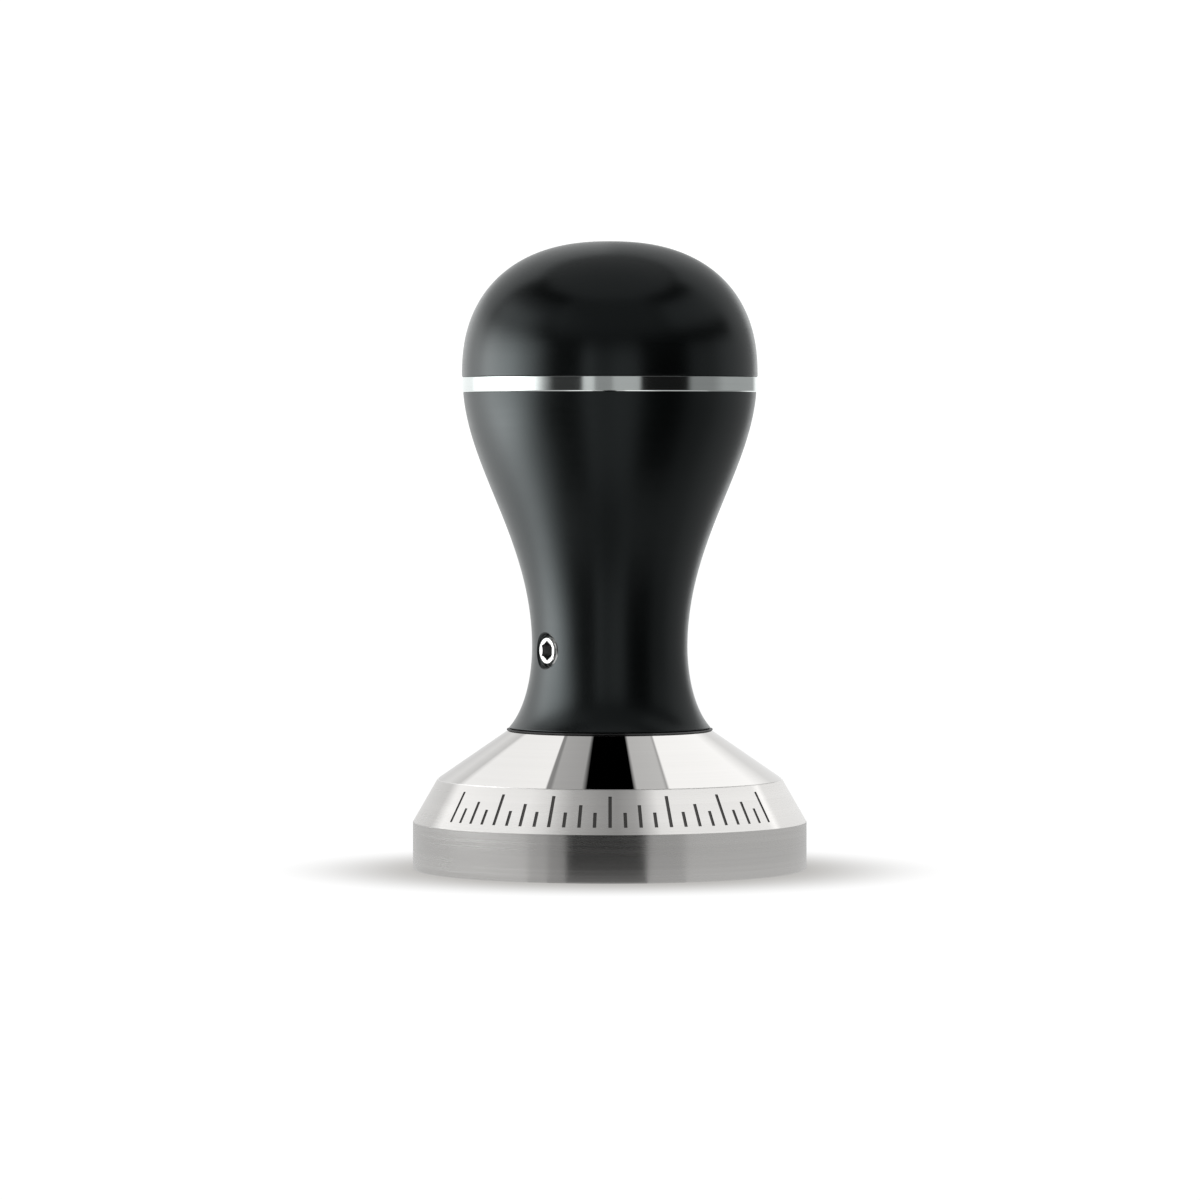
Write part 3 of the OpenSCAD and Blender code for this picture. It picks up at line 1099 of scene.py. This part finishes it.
def backdrop():
    """A white sphere behind everything, which no shiny surface reflects."""
    sphere = Shape(2 * BACKDROP_ROWS)
    angles = [math.pi * k / BACKDROP_ROWS for k in range(BACKDROP_ROWS + 1)]
    sphere.rings([(BACKDROP_R * math.sin(angle), BACKDROP_R * math.cos(angle))
                  for angle in angles])
    finish = glow("backdrop_white", BACKDROP_SHINE)[0]
    stage_mesh("backdrop", sphere.points, sphere.faces, finish, ["camera", "diffuse"])


TENT_R = 0.15
TENT_LOW, TENT_HIGH = -0.4, 0.32
TENT_SIDES = 120
TENT_COLOR = (0.985, 1.0, 1.0, 1.0)
# Strength, bearings from the front in degrees, heights in metres, and the softness of both.
TENT_PANELS = (
    (4.2, (-113, -64), (0.0, 0.115), (16, 0.03)),       # key on the left
    (1.2, (-100, -78), (-0.06, 0.04), (6, 0.02)),       # its brightest part
    (1.9, (-113, -64), (-0.3, 0.0), (16, 0.03)),        # weaker below
    (0.8, (-113, -64), (0.115, 0.19), (16, 0.03)),      # and above
    (0.8, (-64, -48), (0.055, 0.12), (8, 0.01)),        # its inner edge
    (0.2, (-113, -40), (0.15, 0.24), (10, 0.02)),       # grey above it
    (1.15, (-200, -118), (-0.3, 0.12), (6, 0.02)),      # white behind, left
    (1.2, (145, 200), (-0.3, 0.12), (6, 0.02)),         # white behind, right
    (0.7, (-200, -118), (0.12, 0.3), (6, 0.02)),        # greys above them
    (0.5, (145, 200), (0.12, 0.3), (6, 0.02)),
    (0.2, (60, 145), (-0.3, 0.115), (3, 0.012)),        # grey on the right
    (0.15, (88, 145), (-0.3, 0.115), (8, 0.012)),       # lighter towards the back
    (0.08, (60, 145), (0.055, 0.115), (3, 0.012)),      # and at its top
    (0.36, (48, 110), (0.145, 0.24), (6, 0.02)),        # grey above it
    (0.45, (110, 145), (0.115, 0.3), (6, 0.012)),       # and behind that
    (0.01, (24, 60), (-0.3, 0.2), (1, 0.012)),          # dark flag, right
    (0.72, (-19.5, -11), (-0.3, 0.115), (1.5, 0.025)),   # greys in front
    (0.31, (-11, 2), (-0.3, 0.115), (1.5, 0.025)),
    (0.5, (2, 22), (-0.3, 0.115), (1.5, 0.025)),
    (0.04, (-64, -20), (-0.3, 0.2), (1, 0.012)),        # dark flag, left
    (0.2, (-45, 45), (0.135, 0.4), (6, 0.02)),          # dim above the front
)
CEILING = 0.35


def light_tent():
    """A round tent of white and dark panels close to the object, which the camera doesn't see."""
    finish, tree, shine = glow("tent_panels", 0.0)
    bearing, height = bearing_and_height(tree)
    total = 0.0
    for strength, bearings, heights, softness in TENT_PANELS:
        panel = maths(tree, "MULTIPLY", window(tree, bearing, *bearings, softness[0]),
                      window(tree, height, *heights, softness[1]))
        total = maths(tree, "MULTIPLY_ADD", panel, strength, total)
    tree.links.new(total, shine.inputs["Strength"])
    shine.inputs["Color"].default_value = TENT_COLOR
    points = [on_circle(TENT_R, 360 / TENT_SIDES * i, z) for z in (TENT_LOW, TENT_HIGH)
              for i in range(TENT_SIDES)]
    faces = []
    for i in range(TENT_SIDES):
        j = (i + 1) % TENT_SIDES
        faces.append((i, j, TENT_SIDES + j, TENT_SIDES + i))
    stage_mesh("light_tent", points, faces, finish, ["glossy"])


def ceiling():
    """The light from everywhere else."""
    world = bpy.data.worlds.new("studio")
    bpy.context.scene.world = world
    world.use_nodes = True
    background = world.node_tree.nodes["Background"]
    background.inputs["Color"].default_value = (1.0, 1.0, 1.0, 1.0)
    background.inputs["Strength"].default_value = CEILING


TRAY_R = 0.056
TRAY_RIM = 0.014
TRAY_FADE_R = 0.05
TRAY_UNDER = (0.0003, 0.0001)   # how far it runs in under the piston's bevel, and how low
TRAY_STEPS = 24
# Bearings from the front in degrees, and the strength at the piston and at the rim.
TRAY_PARTS = (
    ("tray_left", -90, -24, 0.62, 0.62), ("tray_grey", -24, -18, 0.5, 0.48),
    ("tray_dim", -18, -12.6, 0.38, 0.34), ("tray_dark", -12.6, 10.5, 0.3, 0.02),
    ("tray_near", 10.5, 22, 0.52, 0.46), ("tray_right", 22, 90, 0.62, 0.6))


def tray():
    """What the piston's wall reflects: a pale tray with a dark stretch in front. Each column
    runs the way that a reflection leaves the wall, so that the stretch has straight edges."""
    for name, left, right, near, far in TRAY_PARTS:
        finish, tree, shine = glow(name, far)
        away = put(tree, "ShaderNodeVectorMath", {0: object_place(tree)}, operation="LENGTH")
        strength = remap(tree, away.node.outputs["Value"], PISTON_R * MM, TRAY_FADE_R, near, far)
        tree.links.new(strength, shine.inputs["Strength"])
        points = []
        for i in range(TRAY_STEPS + 1):
            points += tray_column(left + (right - left) * i / TRAY_STEPS)
        faces = []
        for i in range(TRAY_STEPS):
            for k in (3 * i, 3 * i + 1):
                faces.append((k, k + 1, k + 4, k + 3))
        stage_mesh(name, points, faces, finish, ["glossy"])


def tray_column(bearing):
    """The tray's points at a bearing: under the piston, at the edge and on top of the rim."""
    wall = PISTON_R * MM
    under, low = TRAY_UNDER
    foot = Vector(on_circle(wall - under, bearing, -low))
    away = Vector(on_circle(1.0, 2 * bearing, 0))
    reach = -foot.dot(away) + math.sqrt(foot.dot(away) ** 2 + TRAY_R**2 - wall**2)
    rim = foot + reach * away
    return [foot, rim, rim + Vector((0, 0, TRAY_RIM))]


HALO_GAP = 0.25
HALO_STEP = 3                 # degrees
CONE_HALO_OVER = 0.3
# What the cone reflects, from left to right: degrees from the front at the cone's foot and at
# its top, and the strength of the light there.
CONE_LIGHT = (
    (-180, -180, 0.0), (-171.8, -171, 0.0), (-171.4, -170.6, 0.5), (-160.2, -155, 0.5),
    (-159, -154, 1.15), (-125, -125, 1.15), (-110, -110, 0.8), (-80, -80, 0.78),
    (-70, -70, 0.9), (-61.5, -58.5, 0.76), (-57.5, -54.5, 1.17), (-40, -42, 1.2),
    (-21.8, -27, 1.24), (-21.2, -26.4, 0.34), (-20, -25.2, 0.32), (-19, -24.2, 0.53),
    (-9.4, -10.8, 0.47), (-7.7, -9, 0.0), (7.7, 8.3, 0.0), (9, 9.8, 0.65), (18.2, 23, 0.7),
    (19.2, 24.2, 0.48), (20, 25.2, 1.3), (56, 56, 1.33), (70, 70, 0.9), (110, 110, 0.88),
    (125, 125, 1.15), (159, 154, 1.25), (160.2, 155, 0.6), (171.4, 170.6, 0.6),
    (171.8, 171, 0.0), (180, 180, 0.0))
# And what the band reflects: degrees from the front, and strength.
BAND_LIGHT = (
    (-180, 0.4), (-170, 0.45), (-155, 1.1), (-110, 0.95), (-65, 0.8), (-59, 1.28),
    (-26, 1.14), (-20, 0.98), (-11.5, 0.54), (-4, 0.42), (2, 0.36), (8, 0.48), (15, 1.08),
    (20, 1.14), (54, 1.2), (57, 1.45), (60, 1.1), (110, 0.95), (155, 1.1), (170, 0.45),
    (180, 0.4))


def halo(name, foot, top, over, stops):
    """Light close beside a straight stretch of the piston's outline, which only that stretch
    reflects. Over is how far it runs past the top. Its strength changes evenly from stop to
    stop."""
    foot, top = Vector(foot), Vector(top)
    along = (top - foot).normalized()
    off = HALO_GAP * Vector((along.y, -along.x))
    low, high = foot + off, top + off + over * along
    columns = []
    for start, end in zip(stops, stops[1:]):
        steps = max(1, round((end[0] - start[0]) / HALO_STEP))
        for i in range(steps):
            columns.append([a + (b - a) * i / steps for a, b in zip(start, end)])
    columns.append(stops[-1])
    points = []
    for at_low, at_high, _ in columns:
        points += [on_circle(low.x * MM, at_low, low.y * MM),
                   on_circle(high.x * MM, at_high, high.y * MM)]
    faces = [(k, k + 2, k + 3, k + 1) for k in range(0, len(points) - 2, 2)]
    finish, tree, shine = glow(name + "_light", 0.0)
    light = put(tree, "ShaderNodeAttribute", attribute_name="light")
    tree.links.new(light.node.outputs["Fac"], shine.inputs["Strength"])
    made = stage_mesh(name, points, faces, finish, ["glossy"])
    values = made.data.attributes.new("light", "FLOAT", "POINT")
    values.data.foreach_set("value", [column[2] for column in columns for _ in range(2)])


LENS, SENSOR = 168.7, 36.0
CAMERA_PLACE = (-0.00145, -0.835, 0.0647)
CAMERA_AIM = (-0.00145, 0.0, 0.0399)


def camera():
    """A long lens, a little above the middle of the object."""
    lens = bpy.data.cameras.new("camera")
    lens.lens = LENS
    lens.sensor_width = SENSOR
    lens.clip_end = 100.0
    made = bpy.data.objects.new("camera", lens)
    made.location = CAMERA_PLACE
    aim = Vector(CAMERA_AIM)
    made.rotation_euler = (aim - made.location).to_track_quat("-Z", "Y").to_euler()
    bpy.context.scene.collection.objects.link(made)
    bpy.context.scene.camera = made


floor()
backdrop()
light_tent()
ceiling()
tray()
halo("cone_halo", BAND_TOP, (PISTON_TOP_R, PISTON_TOP_Z), CONE_HALO_OVER, CONE_LIGHT)
halo("band_halo", (PISTON_R, PISTON_WALL_H), BAND_TOP, 0.0,
     [(bearing, bearing, strength) for bearing, strength in BAND_LIGHT])
camera()
bpy.context.scene.view_settings.view_transform = "Standard"
